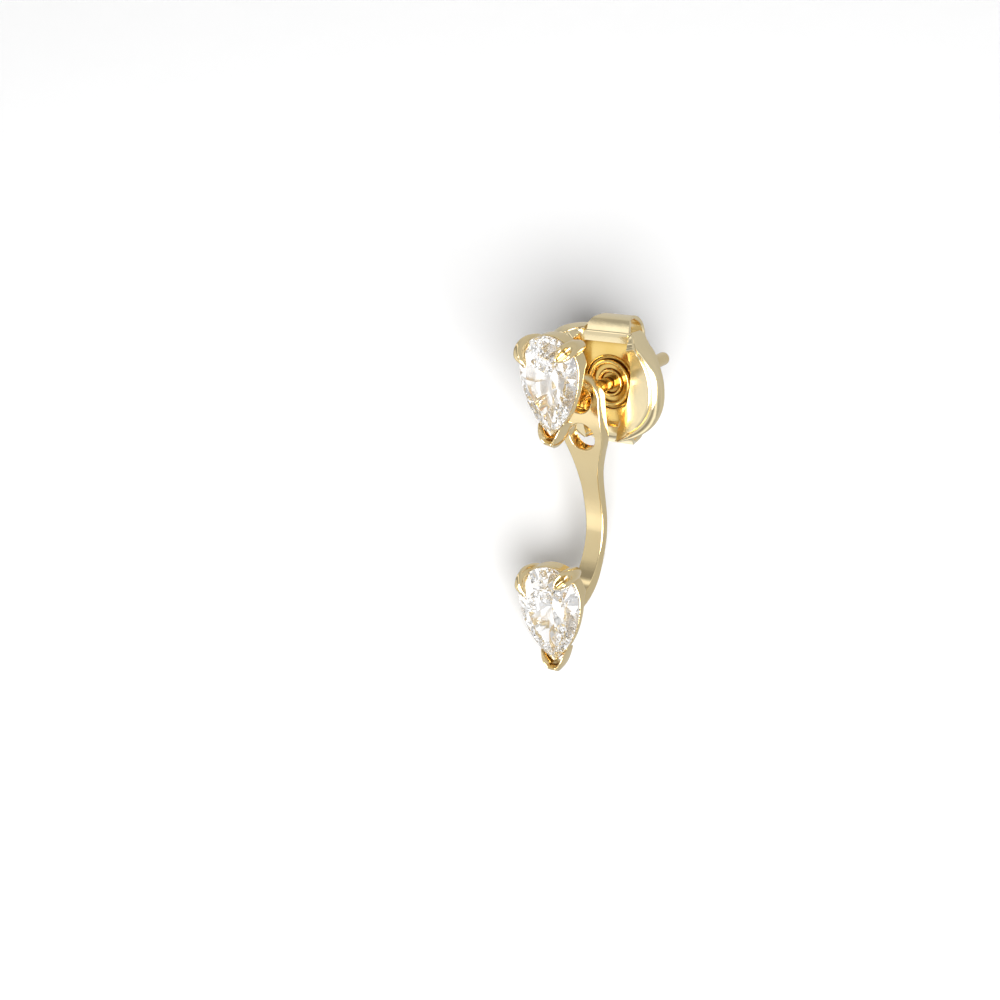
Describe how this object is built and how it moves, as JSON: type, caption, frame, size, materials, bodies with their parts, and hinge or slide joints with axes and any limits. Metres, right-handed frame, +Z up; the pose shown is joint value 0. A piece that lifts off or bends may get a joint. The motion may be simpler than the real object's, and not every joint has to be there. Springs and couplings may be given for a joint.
{
  "type": "ear jacket earring",
  "caption": "Post earring with a claw-set pear stone, a curved jacket that carries a second pear stone below the lobe, and a sliding butterfly clutch.",
  "frame": {"origin": "on the post's axis, at the back of the stud's head, where the lobe sits", "axes": "+Y runs back along the post, away from the stones; +Z is up as worn; +X is across, to the wearer's left when seen from the front"},
  "size_m": [0.0086, 0.0157, 0.021],
  "materials": {
    "gold": "polished yellow gold",
    "stone": "cut and polished colourless stone"
  },
  "bodies": {
    "stud": {"stud_setting": "gold", "stud_stone": "stone"},
    "jacket": {"ear_jacket": "gold", "drop_stone": "stone"},
    "clutch": {"butterfly_back": "gold"}
  },
  "joints": [
    {"name": "jacket_swing", "type": "hinge", "parent": "stud", "child": "jacket", "pos_m": [0, 0.00117, 0], "axis": [0, 1, 0], "continuous": true},
    {"name": "clutch_slide", "type": "slide", "parent": "stud", "child": "clutch", "axis": [0, 1, 0], "range_m": [-0.0009, 0.0085]}
  ]
}
